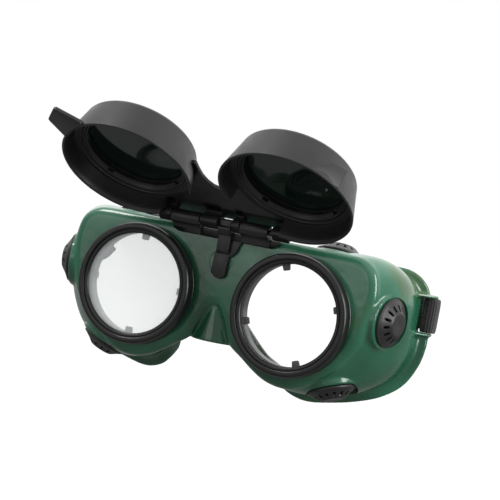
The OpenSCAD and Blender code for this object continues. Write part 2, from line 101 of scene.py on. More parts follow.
class Mat:
    """A node material whose fields are chained by small helper calls."""

    def __init__(self, name, **sockets):
        self.m = bpy.data.materials.new(name)
        self.m.use_nodes = True
        self.t = self.m.node_tree
        self.b = self.t.nodes["Principled BSDF"]
        for key, value in sockets.items():
            self.b.inputs[key.replace("_", " ")].default_value = value
        self.coord = self.t.nodes.new("ShaderNodeTexCoord").outputs["Object"]

    def node(self, kind, inputs=(), **props):
        n = self.t.nodes.new(kind)
        for key, value in props.items():
            setattr(n, key, value)
        for key, value in dict(inputs).items():
            if isinstance(value, bpy.types.NodeSocket):
                self.t.links.new(value, n.inputs[key])
            else:
                n.inputs[key].default_value = value
        return n

    def noise(self, scale, detail=4.0, rough=0.5, coord=None):
        n = self.node("ShaderNodeTexNoise",
                      {"Vector": coord or self.coord, "Scale": scale,
                       "Detail": detail, "Roughness": rough})
        return n.outputs["Fac"]

    def span(self, value, a, b, c, d):
        n = self.node("ShaderNodeMapRange",
                      {"Value": value, "From Min": a, "From Max": b,
                       "To Min": c, "To Max": d})
        return n.outputs["Result"]

    def math(self, op, a, b=0.0):
        n = self.node("ShaderNodeMath", {0: a, 1: b}, operation=op)
        return n.outputs[0]

    def ramp(self, value, stops):
        n = self.node("ShaderNodeValToRGB", {"Fac": value})
        e = n.color_ramp.elements
        while len(e) < len(stops):
            e.new(0.5)
        for k, (pos, col) in enumerate(stops):
            e[k].position = pos
            e[k].color = (*col, 1)
        return n.outputs["Color"]

    def set(self, socket, value):
        self.t.links.new(value, self.b.inputs[socket])

    def bump(self, height, strength, distance, normal=None):
        ins = {"Height": height, "Strength": strength, "Distance": distance}
        if normal is not None:
            ins["Normal"] = normal
        n = self.node("ShaderNodeBump", ins)
        return n.outputs["Normal"]


def black_plastic(name, base, rough, grain=1.0):
    """Satin moulded plastic: fine spark grain and a slow change of gloss."""
    m = Mat(name, IOR=1.48)
    m.set("Base Color", m.ramp(m.noise(90, 3), [(0.3, (base * 0.85,) * 3),
                                                (0.7, (base * 1.2,) * 3)]))
    m.set("Roughness", m.span(m.noise(200, 5), 0.3, 0.7, rough - 0.04, rough + 0.05))
    fine = m.bump(m.noise(2600, 2), 0.1 * grain, 0.00005)
    m.set("Normal", m.bump(m.noise(60, 2), 0.12, 0.0002, fine))
    return m.m


def pvc_material():
    """Soft green vinyl: deep tone under cloudy darker and paler grey-green zones that are painted
    shade and painted reflection, olive patches, slow waves.
    """
    m = Mat("pvc", IOR=1.52, Coat_Weight=0.3, Coat_Roughness=0.05)
    # painted light: broad noise zones darken the green into painted shade and lighten it into a
    # paler grey-green painted reflection; the middle stop is the vinyl's own green
    painted_light_cloud = m.noise(24, 1.5, 0.5)
    green_with_painted_light = m.ramp(painted_light_cloud, [(0.36, (0.008, 0.062, 0.03)), (0.5, (0.017, 0.12, 0.062)),
                          (0.66, (0.04, 0.17, 0.1))])
    olive = m.span(m.noise(30, 2, 0.5, m.node("ShaderNodeMapping", {
        "Vector": m.coord, "Location": (0.4, 0.1, 0.7)}).outputs["Vector"]), 0.58, 0.7, 0, 0.7)
    mix = m.node("ShaderNodeMix", {"Factor": olive, "A": green_with_painted_light, "B": (0.05, 0.1, 0.03, 1)},
                 data_type="RGBA")
    m.set("Base Color", mix.outputs["Result"])
    m.b.inputs["Subsurface Weight"].default_value = 0.15
    m.b.inputs["Subsurface Radius"].default_value = (0.4, 1.0, 0.5)
    m.b.inputs["Subsurface Scale"].default_value = 0.002
    m.set("Roughness", m.span(m.noise(70, 4), 0.3, 0.7, 0.12, 0.26))
    fine = m.bump(m.noise(900, 2), 0.06, 0.00008)
    m.set("Normal", m.bump(m.noise(55, 3), 0.55, 0.0008, fine))
    return m.m


def glass_material(name, colour, alpha, rough):
    """Thin lens: its alpha lets the scene through, its gloss varies a little."""
    m = Mat(name, IOR=1.5, Base_Color=(*colour, 1), Alpha=alpha)
    m.set("Roughness", m.span(m.noise(70, 3), 0.35, 0.75, rough, rough + 0.05))
    m.set("Normal", m.bump(m.noise(30, 1), 0.05, 0.0003))
    return m.m


def webbing_material():
    """Knitted elastic: fine ribs across the width, fuzzy yarn between them."""
    m = Mat("webbing", Roughness=0.85)
    uv = m.node("ShaderNodeUVMap").outputs["UV"]
    sep = m.node("ShaderNodeSeparateXYZ", {"Vector": uv})
    u, v = sep.outputs["X"], sep.outputs["Y"]
    rib = m.math("SINE", m.math("MULTIPLY", u, 2 * math.pi / 0.0011))
    knit = m.math("SINE", m.math("MULTIPLY", v, 2 * math.pi / 0.0009))
    weave = m.math("ADD", m.math("MULTIPLY", rib, 0.7), m.math("MULTIPLY", knit, 0.3))
    fuzz = m.noise(3000, 3)
    height = m.math("ADD", weave, m.math("MULTIPLY", fuzz, 0.8))
    m.set("Base Color", m.ramp(m.span(height, -0.9, 1.5, 0, 1),
                               [(0.1, (0.003, 0.003, 0.003)), (0.8, (0.02, 0.019, 0.02))]))
    m.b.inputs["Sheen Weight"].default_value = 0.25
    m.b.inputs["Sheen Roughness"].default_value = 0.5
    m.set("Normal", m.bump(height, 0.9, 0.00025))
    return m.m


def rubber_material():
    """Matt black washer rubber."""
    m = Mat("rubber", IOR=1.5)
    m.set("Base Color", m.ramp(m.noise(150, 3), [(0.3, (0.01, 0.01, 0.01)),
                                                 (0.7, (0.02, 0.02, 0.02))]))
    m.set("Roughness", m.span(m.noise(300, 3), 0.3, 0.7, 0.55, 0.7))
    m.set("Normal", m.bump(m.noise(1800, 2), 0.2, 0.00005))
    return m.m


def steel_material():
    """Blackened drawn steel with grain along the pin."""
    m = Mat("steel", Metallic=1.0)
    flow = m.node("ShaderNodeMapping", {"Vector": m.coord, "Scale": (40, 900, 900)})
    grain = m.noise(1, 4, coord=flow.outputs["Vector"])
    m.set("Base Color", m.ramp(grain, [(0.3, (0.05, 0.05, 0.052)), (0.7, (0.11, 0.11, 0.112))]))
    m.set("Roughness", m.span(grain, 0.3, 0.7, 0.25, 0.42))
    m.set("Normal", m.bump(grain, 0.1, 0.00003))
    return m.m


PVC = pvc_material()
BLACK = black_plastic("black", 0.008, 0.36)
RING = black_plastic("ring_black", 0.005, 0.3, 0.3)
CUP = black_plastic("cup_black", 0.009, 0.42, 1.2)
VENT = black_plastic("vent_black", 0.011, 0.42, 1.3)
WEBBING = webbing_material()
RUBBER = rubber_material()
STEEL = steel_material()
CLEAR = glass_material("clear", (0.97, 0.99, 0.98), 0.03, 0.02)
FILM = glass_material("film", (0.93, 0.97, 0.97), 0.3, 0.15)
COVER = glass_material("cover", (0.9, 0.93, 0.92), 0.12, 0.02)
SHADE = glass_material("shade", (0.003, 0.009, 0.006), 1.0, 0.03)


# --- mesh helpers ----------------------------------------------------------

MM = Matrix.Scale(0.001, 4) @ Matrix.Translation((0, -DEPTH, 0))


def eye_frame(side):
    """Local z points back along a lens axis, from the ring's front plane."""
    return Matrix.Translation((SIDES[side] * EYE_X, 0, 0)) @ Matrix.Rotation(-math.pi / 2, 4, "X")


def raised():
    pivot = Matrix.Translation((0, HINGE[0], HINGE[1]))
    return pivot @ Matrix.Rotation(RAISE, 4, "X") @ pivot.inverted()


def vent_frame(place, side):
    at, polar, azimuth = VENTS[place]
    m = (Matrix.Translation(at) @ Matrix.Rotation(math.radians(azimuth), 4, "Z")
         @ Matrix.Rotation(math.radians(polar), 4, "Y"))
    return Matrix.Diagonal((SIDES[side], 1, 1, 1)) @ m


def build(name, verts, faces, place=None, material=None, body=None, smooth=35):
    """Mesh in row-frame metres from millimetre points in a local frame."""
    me = bpy.data.meshes.new(name)
    me.from_pydata([tuple(v) for v in verts], [], faces)
    me.transform(MM @ (place or Matrix.Identity(4)))
    bm = bmesh.new()
    bm.from_mesh(me)
    bmesh.ops.remove_doubles(bm, verts=bm.verts, dist=1e-7)
    bmesh.ops.recalc_face_normals(bm, faces=bm.faces)
    bm.to_mesh(me)
    bm.free()
    ob = bpy.data.objects.new(name, me)
    bpy.context.scene.collection.objects.link(ob)
    finish_mesh(ob, material, smooth)
    if body:
        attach(ob, body)
    return ob


def finish_mesh(ob, material, smooth=35):
    ob.data.polygons.foreach_set("use_smooth", [True] * len(ob.data.polygons))
    if smooth:
        ob.data.set_sharp_from_angle(angle=math.radians(smooth))
    if material:
        ob.data.materials.clear()
        ob.data.materials.append(material)


def rounded(profile, r=0.3, steps=3):
    """Closed 2D outline with each corner cut back into a short arc."""
    out = []
    n = len(profile)
    for i in range(n):
        a, b, c = (Vector(profile[(i + k) % n]) for k in (-1, 0, 1))
        u, v = a - b, c - b
        d = min(r, u.length * 0.45, v.length * 0.45)
        if d < 1e-6 or abs(u.normalized().cross(v.normalized())) < 0.02:
            out.append(tuple(b))
            continue
        p, q = b + u.normalized() * d, b + v.normalized() * d
        for k in range(steps + 1):
            t = k / steps
            out.append(tuple(p * (1 - t) ** 2 + b * 2 * t * (1 - t) + q * t * t))
    return out


def lathe(name, profile, place, material, body, segments=128, closed=True, r=0.3, smooth=35):
    """Turns a closed [radius, z] outline into a smooth ring, edges softened."""
    ring = rounded(profile, r) if closed else profile
    verts, faces = [], []
    n = len(ring)
    for s in range(segments):
        a = 2 * math.pi * s / segments
        for rad, z in ring:
            verts.append((rad * math.cos(a), rad * math.sin(a), z))
    last = n if closed else n - 1
    for s in range(segments):
        t = (s + 1) % segments
        for k in range(last):
            j = (k + 1) % n
            faces.append((s * n + k, s * n + j, t * n + j, t * n + k))
    return build(name, verts, faces, place, material, body, smooth)


def slab(name, outline, z0, z1, place, material, body, bevel=0.3, smooth=35):
    """Extruded outline [x, y] between z0 and z1, with bevelled edges."""
    n = len(outline)
    verts = [(x, y, z) for z in (z0, z1) for x, y in outline]
    faces = [tuple(range(n))[::-1], tuple(range(n, 2 * n))]
    faces += [(k, (k + 1) % n, n + (k + 1) % n, n + k) for k in range(n)]
    ob = build(name, verts, faces, place, material, body, smooth)
    soften(ob, bevel)
    return ob


def soften(ob, width, segments=3, angle=30):
    mod = ob.modifiers.new("bevel", "BEVEL")
    mod.width = width * 0.001
    mod.segments = segments
    mod.limit_method = "ANGLE"
    mod.angle_limit = math.radians(angle)
    mod.harden_normals = False
    apply_all(ob)
    ob.data.polygons.foreach_set("use_smooth", [True] * len(ob.data.polygons))
    ob.data.set_sharp_from_angle(angle=math.radians(50))


def apply_all(ob):
    bpy.context.view_layer.update()
    dg = bpy.context.evaluated_depsgraph_get()
    me = bpy.data.meshes.new_from_object(ob.evaluated_get(dg), depsgraph=dg)
    ob.modifiers.clear()
    ob.data = me


def join(name, parts, body=None):
    """One object from several, their meshes appended in place."""
    base = parts[0]
    with bpy.context.temp_override(active_object=base, object=base, selected_objects=parts,
                                   selected_editable_objects=parts):
        bpy.ops.object.join()
    base.name = name
    base.data.name = name
    if body:
        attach(base, body)
    return base


def cut(ob, tools):
    for tool in tools:
        mod = ob.modifiers.new("cut", "BOOLEAN")
        mod.operation = "DIFFERENCE"
        mod.solver = "EXACT"
        mod.object = tool
    apply_all(ob)
    for tool in tools:
        bpy.data.objects.remove(tool)


def remesh(ob, voxel, rounds):
    """Melts the joined pieces into one skin and smooths the joints."""
    mod = ob.modifiers.new("remesh", "REMESH")
    mod.mode = "VOXEL"
    mod.voxel_size = voxel * 0.001
    mod.use_smooth_shade = True
    mod = ob.modifiers.new("smooth", "SMOOTH")
    mod.factor = 0.5
    mod.iterations = rounds
    apply_all(ob)


def arc(cx, cy, r, a0, a1, steps=14):
    return [(cx + r * math.cos(math.radians(a0 + (a1 - a0) * k / steps)),
             cy + r * math.sin(math.radians(a0 + (a1 - a0) * k / steps)))
            for k in range(steps + 1)]


def along_x(name, outline, x0, x1, place, material, body=None, bevel=0.35):
    """Side profile [y, z] extruded along X."""
    turn = Matrix(((0, 0, 1, 0), (1, 0, 0, 0), (0, 1, 0, 0), (0, 0, 0, 1)))
    return slab(name, outline, x0, x1, place @ turn, material, body, bevel)


def along_y(name, outline, y0, y1, place, material, body=None, bevel=0.35):
    """Outline [x, z] extruded along Y."""
    turn = Matrix(((1, 0, 0, 0), (0, 0, 1, 0), (0, 1, 0, 0), (0, 0, 0, 1)))
    return slab(name, outline, y0, y1, place @ turn, material, body, bevel)


# --- the mask ----------------------------------------------------------------

def mirror_half(half):
    return half + [(-p[0], *p[1:]) for p in reversed(half[1:-1])]


def smooth_loop(keys, steps):
    n = len(keys)
    k = np.array(keys, float)
    out = []
    for i in range(n):
        a, b, c, d = k[i - 1], k[i], k[(i + 1) % n], k[(i + 2) % n]
        for s in range(steps):
            t = s / steps
            out.append(0.5 * (2 * b + (c - a) * t + (2 * a - 5 * b + 4 * c - d) * t * t
                              + (3 * b - a - 3 * c + d) * t ** 3))
    return np.array(out)


def outward(loop):
    d = np.roll(loop, -1, 0) - np.roll(loop, 1, 0)
    n = np.stack([-d[:, 2], np.zeros(len(d)), d[:, 0]], 1)
    return n / np.linalg.norm(n, axis=1)[:, None]


def inset(loop, d, dy):
    return loop - outward(loop) * d + np.array([0, dy, 0])


def skin(name, rings, front_hub, back_hub):
    n, m = len(rings[0]), len(rings)
    verts = [tuple(p) for r in rings for p in r] + [front_hub, back_hub]
    faces = []
    for i in range(n):
        j = (i + 1) % n
        for k in range(m - 1):
            faces.append((k * n + i, k * n + j, (k + 1) * n + j, (k + 1) * n + i))
        faces.append((m * n, j, i))
        faces.append((m * n + 1, (m - 1) * n + i, (m - 1) * n + j))
    return build(name, verts, faces, smooth=0)


def mask_shell():
    steps, rows = 5, 12
    front = smooth_loop([(x, WALL_Y, z) for x, z in mirror_half(FRONT)], steps)
    seal = smooth_loop(mirror_half(SEAL), steps)
    temple = np.clip((np.abs(front[:, 0]) - 35) / 20, 0, 1)[:, None]

    def wall_at(start, end, t):
        ring = start * (1 - t) + end * t
        return ring + outward(ring) * temple * SWELL * math.sin(math.pi * t)

    rings = [inset(front, ROUND_R * (1 - math.sin(a)), ROUND_R * 0.9 * (1 - math.cos(a)))
             for a in np.linspace(0, math.pi / 2, 7)]
    start, end = inset(front, 0, ROUND_R * 0.9), inset(seal, LIP, -5)
    rings += [wall_at(start, end, t) for t in np.linspace(0, 1, rows + 1)[1:]]
    rings += [inset(seal, LIP * 0.66, -3.4), inset(seal, 0.7, -2.9), inset(seal, 0, -2.2),
              inset(seal, 0, -1.0), inset(seal, 0.6, -0.2), inset(seal, 1.7, 0),
              inset(seal, LIP + WALL - 0.3, -0.7)]
    a, b = inset(front, WALL + 0.4, WALL + 1.4), inset(seal, LIP + WALL, -4)
    rings += [wall_at(a, b, t) for t in np.linspace(1, 0, rows + 1)]
    rings += [inset(front, WALL + 2.6, WALL)]
    return skin("shell", rings, (0, WALL_Y, 10), (0, WALL_Y + WALL, 10))


def cone(name, p0, r0, p1, r1, segments=48):
    """Frustum between two horizontal circles, for joining into the mask."""
    verts = [(p[0] + r * math.cos(a), p[1] + r * math.sin(a), p[2])
             for p, r in ((p0, r0), (p1, r1))
             for a in (2 * math.pi * k / segments for k in range(segments))]
    n = segments
    faces = [tuple(range(n)), tuple(range(n, 2 * n))[::-1]]
    faces += [(k, (k + 1) % n, n + (k + 1) % n, n + k) for k in range(n)]
    return build(name, verts, faces, smooth=0)


def disc(name, place, r, z0, z1, segments=64):
    verts = [(r * math.cos(a), r * math.sin(a), z) for z in (z0, z1)
             for a in (2 * math.pi * k / segments for k in range(segments))]
    n = segments
    faces = [tuple(range(n))[::-1], tuple(range(n, 2 * n))]
    faces += [(k, (k + 1) % n, n + (k + 1) % n, n + k) for k in range(n)]
    return build(name, verts, faces, place, smooth=0)


def box(name, lo, hi, place=None):
    v = [(x, y, z) for z in (lo[2], hi[2]) for x, y in
         ((lo[0], lo[1]), (hi[0], lo[1]), (hi[0], hi[1]), (lo[0], hi[1]))]
    f = [(3, 2, 1, 0), (4, 5, 6, 7), (0, 1, 5, 4), (1, 2, 6, 5), (2, 3, 7, 6), (3, 0, 4, 7)]
    return build(name, v, f, place, smooth=0)


def prism(name, outline, z0, z1, place=None):
    n = len(outline)
    verts = [(x, y, z) for z in (z0, z1) for x, y in outline]
    faces = [tuple(range(n))[::-1], tuple(range(n, 2 * n))]
    faces += [(k, (k + 1) % n, n + (k + 1) % n, n + k) for k in range(n)]
    return build(name, verts, faces, place, smooth=0)


def make_mask():
    parts = [mask_shell()]
    for side, s in SIDES.items():
        flip = Matrix.Diagonal((s, 1, 1, 1))
        arm = [(78, 37), (82, 35), (92.6, 46), (92.6, 52), (84, 52), (80, 48)]
        for z in (0.8, 18.7):
            parts.append(prism("arm", arm, z, z + 1.5, flip))
        root = [(79, 40), (80.5, 38.4), (86, 43.5), (86, 45.5), (82, 46.5), (80, 45)]
        parts.append(prism("root", root, *LUG_Z, flip))
        parts.append(disc("bar", flip @ Matrix.Translation((*STRAP_BAR, 0)), 1.8, *LUG_Z, 24))
        for place in VENTS:
            parts.append(disc("pad", vent_frame(place, side), VENT_PAD_R, -4, -0.1))
    nose = cone("nose", (0, 11.6, -3.5), 3, (0, 20.5, -20), 13)
    hollow = cone("hollow", (0, 12.8, -5.4), 1.9, (0, 21.4, -21.5), 11.4)
    back = box("back", (-20, 19, -30), (20, 40, 2))
    cut(nose, [hollow, back])
    parts.append(nose)
    body = join("mask_body", parts)
    remesh(body, 0.6, 6)
    tools = []
    for side, s in SIDES.items():
        tools.append(disc("bore", eye_frame(side), BORE_R, -5, 14, 96))
        for place in VENTS:
            tools.append(disc("hole", vent_frame(place, side), VENT_HOLE_R, -9, 3, 48))
            tools.append(disc("seat", vent_frame(place, side), VENT_SEAT_R, 0, 5, 64))
        tools.append(box("window", (85.6, 44, 2.3), (98, 58, 18.7), Matrix.Diagonal((s, 1, 1, 1))))
    cut(body, tools)
    ring = lathe("boss", [(5.3, 0.3), (5.45, -0.18), (5.75, -0.18), (5.9, 0.3)],
                 Matrix.Translation((-0.4, WALL_Y, 17.5)) @ Matrix.Rotation(-math.pi / 2, 4, "X"),
                 PVC, None, r=0.08)
    seam = along_y("seam", [(5.8, 14.2), (12.5, 11.6), (12.5, 11.3), (5.8, 13.9)],
                   WALL_Y - 0.12, WALL_Y + 0.3, Matrix.Identity(4), PVC, None, 0.06)
    body = join("mask_body", [body, ring, seam])
    finish_mesh(body, PVC, 40)
    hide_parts("frame_body")
    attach(body, "mask")
    return body


make_mask()


# --- lens holders ------------------------------------------------------------

def eye_ring(side):
    """Screw ring: a lip round the lens, a fine groove in its face and one in its side."""
    profile = [
        (OPEN_R, 1.0), (OPEN_R + 0.5, 0.5), (OPEN_R + 1.5, 0.35), (OPEN_R + 1.55, 0.9),
        (OPEN_R + 2.0, 0.9), (OPEN_R + 2.05, -0.05), (OPEN_R + 2.5, -0.3), (RING_R - 1.3, -0.3),
        (RING_R - 0.7, -0.1), (RING_R - 0.25, 0.5), (RING_R, 1.3), (RING_R, 5.4),
        (RING_R - 0.35, 5.7), (RING_R - 0.35, 6.0), (RING_R, 6.3), (RING_R, 6.7),
        (BARREL_R + 0.06, 6.7), (BARREL_R + 0.06, 1.5), (OPEN_R, 1.5)]
    ob = lathe("eye_ring_turned_" + side, profile, eye_frame(side), RING, "eye_ring_" + side,
               segments=160, r=0.18)
    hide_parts("eye_ring_" + side)


def eye_barrel(side):
    profile = [
        (LENS_R + 0.15, 2.0), (LENS_R + 0.15, 4.5), (OPEN_R, 4.5), (OPEN_R, 7.0),
        (OPEN_R + 0.3, 7.6), (OPEN_R + 0.3, 11.0), (OPEN_R + 0.5, 11.2),
        (FLANGE_R, 11.2), (FLANGE_R, 9.6), (BARREL_R + 0.6, 9.6),
        (BARREL_R + 0.6, 7.3), (BARREL_R, 7.3), (BARREL_R, 2.0)]
    ring = lathe("barrel", profile, eye_frame(side), BLACK, None, segments=128, r=0.15)
    turn = math.radians(-17 if side == "left" else 0)
    tabs = []
    for k in range(4):
        place = eye_frame(side) @ Matrix.Rotation(turn + k * math.pi / 2, 4, "Z")
        outline = [(OPEN_R - 2.8, -1.25), (OPEN_R - 2.5, -1.6), (OPEN_R + 0.6, -1.9),
                   (OPEN_R + 0.6, 1.9), (OPEN_R - 2.5, 1.6), (OPEN_R - 2.8, 1.25)]
        tabs.append(slab("tab", outline, 4.8, 6.2, place, BLACK, None, 0.25))
    ob = join("eye_barrel_moulded_" + side, [ring] + tabs, "mask")
    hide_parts("eye_barrel_" + side)


def disc_lens(name, side, node, z0, z1, place, material, body):
    """Round lens with ground edges, a hair of crown on both faces."""
    r, c = LENS_R - 0.02, 0.25
    crown = [(r * math.sin(a), 0.05 * (1 - math.cos(a) ** 2)) for a in np.linspace(0, 1.45, 14)]
    front = [(x, z0 + y) for x, y in crown]
    back = [(x, z1 - y) for x, y in reversed(crown)]
    rim = [(r - 0.01, z0 + c * 0.6), (r, z0 + c), (r, z1 - c), (r - 0.01, z1 - c * 0.6)]
    ob = lathe(name, front + rim + back, place, material, body, segments=96, closed=False)
    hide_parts(node + "_" + side)
    return ob


for side in SIDES:
    eye_ring(side)
    eye_barrel(side)
    lens = disc_lens("eye_lens_" + side, side, "clear_lens", 1.52, 3.48, eye_frame(side),
                     FILM if side == "right" else CLEAR, "mask")


# --- vent caps -----------------------------------------------------------------

def vent_cap(place, side):
    """Domed cap with a flat crown, a stepped foot and slots through its slope."""
    prof = [
        (0.01, VENT_H - 1.4), (4.6, VENT_H - 1.4), (8.9, 0.7), (9.2, 0.05), (11.3, 0.05),
        (11.5, 0.3), (11.5, 1.1), (11.25, 1.4), (10.7, 1.5), (10.3, 1.85),
        (8.1, 3.2), (6.0, VENT_H - 0.45), (5.5, VENT_H - 0.12), (5.0, VENT_H), (0.01, VENT_H)]
    cap = lathe("cap", prof, vent_frame(place, side), VENT, None, segments=112, r=0.14)
    tools = []
    for k in range(VENT_SLOTS):
        a = 2 * math.pi * k / VENT_SLOTS
        frame_k = vent_frame(place, side) @ Matrix.Rotation(a, 4, "Z")
        tools.append(box("slot", (6.3, -0.62, 1.9), (8.9, 0.62, 6), frame_k))
    tool = join("slots", tools)
    cut(cap, [tool])
    soften(cap, 0.08, 2, 40)
    cap.name = cap.data.name = "vent_dome_%s_%s" % (place, side)
    cap.data.materials.clear()
    cap.data.materials.append(VENT)
    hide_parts("vent_cap_%s_%s" % (place, side))
    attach(cap, "mask")


for side in SIDES:
    for place in VENTS:
        vent_cap(place, side)


# --- flip front ------------------------------------------------------------------

CUP_RIM = 31.9
CUP_END = -12.6
UP = raised()


def cup(side):
    profile = [
        (CUP_RIM, 6.3), (CUP_RIM - 0.25, 6.7), (CUP_RIM - 1.0, 6.7), (CUP_RIM - 1.35, 6.2),
        (CUP_RIM - 1.75, 5.2), (CUP_RIM - 2.0, 3.9), (29.2, -2.0), (27.3, -2.0),
        (27.1, -2.6), (26.2, -2.6), (26.2, -5.8), (LENS_R + 0.15, -5.8),
        (LENS_R + 0.15, -10.8), (OPEN_R, -10.8), (OPEN_R, -12.1), (OPEN_R + 0.4, CUP_END),
        (25.2, CUP_END)]
    profile += [(24.6 + 3.2 * math.sin(a), -9.5 - 3.1 * math.cos(a))
                for a in np.linspace(0.45, 1.5, 7)]
    return lathe("cup", profile, UP @ eye_frame(side), CUP, None, segments=160, r=0.12)


SADDLE = [(20, -1), (8.3, -1), (7.9, 4), (7.1, 8.4), (5.5, 12), (3.1, 14.8), (0, 16)]


def saddle(dz):
    half = [(x, z + dz) for x, z in SADDLE]
    return half + [(-x, z) for x, z in reversed(half[:-1])]


EARS = ((-33, -26.4), (-11.4, -2.8), (4.2, 8.4), (24.4, 32.6))
RIM_GAP_X = 30
RIM_GAP_Z = 9


def cups():
    """Both cups, their rims left open over the web."""
    shells = [cup(side) for side in SIDES]
    for shell in shells:
        cut(shell, [box("gap", (-RIM_GAP_X, -2, RIM_GAP_Z), (RIM_GAP_X, 8, 40), UP)])
        soften(shell, 0.18, 2, 50)
    return shells


def flip_front():
    inner_right, inner_left = EARS[0][1], EARS[3][0]
    web = saddle(0) + [(-42, 20), (-36, 32.3), (inner_right, 32.3), (inner_right, 38),
                       (inner_left, 38), (inner_left, 32.3), (36, 32.3), (42, 20)]
    plate = along_y("web", web, -5.2, -3.2, UP, CUP, None, 0.3)
    ridge = along_y("saddle", saddle(0) + list(reversed(saddle(1.7))), -11.5, -4.0, UP, CUP,
                    None, 0.4)
    skirts = [along_y("skirt", [(a, 29.8), (b, 29.8), (b, 31.5), (a, 31.5)], -5.0, 5.2, UP,
                      CUP, None, 0.35) for a, b in ((-46, -RIM_GAP_X), (RIM_GAP_X, 46))]
    for piece in (plate, ridge, *skirts):
        cut(piece, [disc("core", UP @ eye_frame(s), 28.0 if piece in (plate, ridge) else 30.7,
                         -20, 20, 128) for s in SIDES])
    parts = [plate, ridge, *skirts]
    for a, b in EARS:
        ear = [(-5.2, 28), (-3.2, 28), (-3.2, 34), (-0.9, 34)]
        ear += arc(*HINGE, KNUCKLE_R, -162, -53, 8)[1:] + arc(*HINGE, KNUCKLE_R, 53, 90, 5)
        ear += [(-4.2, 38.3), (-5.2, 37.3)]
        parts.append(along_x("ear", ear, a, b, UP, CUP, None, 0.3))
    tab = [(-64.9, -16.9), (-66, -17.6), (-70.6, -26.9), (-70.9, -28.3), (-66.2, -36.0),
           (-64.9, -36.5), (-54.2, -29.8), (-53, -27.5), (-59.7, -23)]
    parts.append(along_y("tab", tab, 4.7, 6.7, UP, CUP, None, 0.45))
    out = Matrix(((0, 0, 1, 0), (1, 0, 0, 0), (0, 1, 0, 0), (0, 0, 0, 1)))
    place = (UP @ Matrix.Translation((EYE_X, 0, 0)) @ Matrix.Rotation(math.radians(44), 4, "Y")
             @ out)
    pad = slab("pad", [(6.1, -6.8), (-3.5, 1.2), (-4.3, 9.2), (6.1, 8.4)], 26.3, 31.3, place,
               CUP, None, 0.3)
    core = lathe("core", [(0.01, -20), (28.2, -20), (29.6, -1), (30.35, 6.8), (0.01, 6.8)],
                 UP @ eye_frame("left"), None, None, segments=96, r=0.01)
    cut(pad, [core])
    parts += [pad, *cups()]
    for p in parts:
        p.data.materials.clear()
        p.data.materials.append(CUP)
    ob = join("flip_front_moulded", parts, "front")
    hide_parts("flip_front")


def shade_ring(side):
    r = 26.14
    profile = [
        (OPEN_R, -5.78), (r, -5.78), (r, -2.7), (r - 0.3, -2.4), (r - 0.9, -2.4),
        (r - 1.1, -2.75), (r - 1.35, -2.75), (r - 1.55, -3.2), (r - 1.8, -3.25),
        (r - 2.0, -3.6), (OPEN_R + 0.25, -3.6), (OPEN_R, -3.85)]
    place = UP @ eye_frame(side)
    ob = lathe("ring", profile, place, RING, None, segments=144, r=0.1)
    tools = [box("notch", (OPEN_R - 1, -1.5, -4.6), (OPEN_R + 1.2, 1.5, -0.6),
                 place @ Matrix.Rotation(math.radians(a), 4, "Z")) for a in (45, 135, 225, 315)]
    cut(ob, [join("notches", tools)])
    soften(ob, 0.08, 2, 45)
    ob.name = ob.data.name = "shade_ring_turned_" + side
    ob.data.materials.clear()
    ob.data.materials.append(RING)
    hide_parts("shade_ring_" + side)
    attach(ob, "shade_ring_" + side)


flip_front()
for side in SIDES:
    shade_ring(side)
    glass = disc_lens("welding_shade_" + side, side, "shade_lens", -9.58, -6.62,
                      UP @ eye_frame(side), SHADE, "front")
    guard = disc_lens("shade_cover_" + side, side, "cover_lens", -10.78, -9.62,
                      UP @ eye_frame(side), COVER, "front")


# --- hinge bracket ----------------------------------------------------------------

KNUCKLES = ((-26, -11.9), (8.8, 22.8))
TONGUE = (-2.4, 3.8)


def hinge_bracket():
    here = Matrix.Identity(4)
    plate = along_y("plate", [(-25.4, 27.9), (27.2, 27.9), (28, 28.7), (28, 31.8), (-26, 31.8),
                              (-26, 28.6)], 5.2, 7.05, here, BLACK, None, 0.3)
    parts = [plate]
    knuckle = [(4.2, 28.2), (7.0, 28.2), (7.0, 35), (5.5, 35)]
    knuckle += arc(*HINGE, KNUCKLE_R, 0, 270, 30)[1:] + [(2.2, 31.1), (4.2, 31.1)]
    for a, b in KNUCKLES:
        body = along_x("knuckle", knuckle, a, b, here, BLACK, None, 0.3)
        cut(body, [disc("pin_hole", Matrix.Translation((0, *HINGE))
                        @ Matrix.Rotation(math.pi / 2, 4, "Y"), PIN_HOLE_R, a - 1, b + 1, 48)])
        parts.append(body)
    for piece in parts:
        cut(piece, [disc("rim", eye_frame(s), CUP_RIM + 0.3, -5, 12, 128) for s in SIDES])
    a, b = TONGUE
    parts.append(along_x("tongue_head", [(0.3, 33.8), (0.3, 32.6), (2.2, 30), (6.9, 30),
                                         (6.9, 37.6), (2.0, 37.6), (1.3, 37.0), (1.3, 34.3)],
                         a, b, here, BLACK, None, 0.3))
    parts.append(along_x("tongue", [(3.0, 32.6), (3.4, 22.8), (4.6, 21.4), (7.0, 21.4),
                                    (7.0, 32.6)], a + 0.05, b - 0.05, here, BLACK, None, 0.35))
    parts.append(along_y("fin", [(3.4, 20), (5.1, 20.8), (7.1, 23), (8.9, 28.5), (3.4, 28.8)],
                         5.2, 7.05, here, BLACK, None, 0.3))
    foot = [(-3.2, 22.5), (-3.7, 12.2), (-1.6, 10.3), (0.8, 9.8), (2.6, 10.3), (3.7, 11.8),
            (3.9, 22.5)]
    parts.append(along_y("foot", foot, 4.9, 7.05, here, BLACK, None, 0.35))
    for p in parts:
        p.data.materials.clear()
        p.data.materials.append(BLACK)
    ob = join("hinge_bracket_moulded", parts, "mask")
    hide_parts("hinge_bracket")


hinge_bracket()


# --- headband -----------------------------------------------------------------------

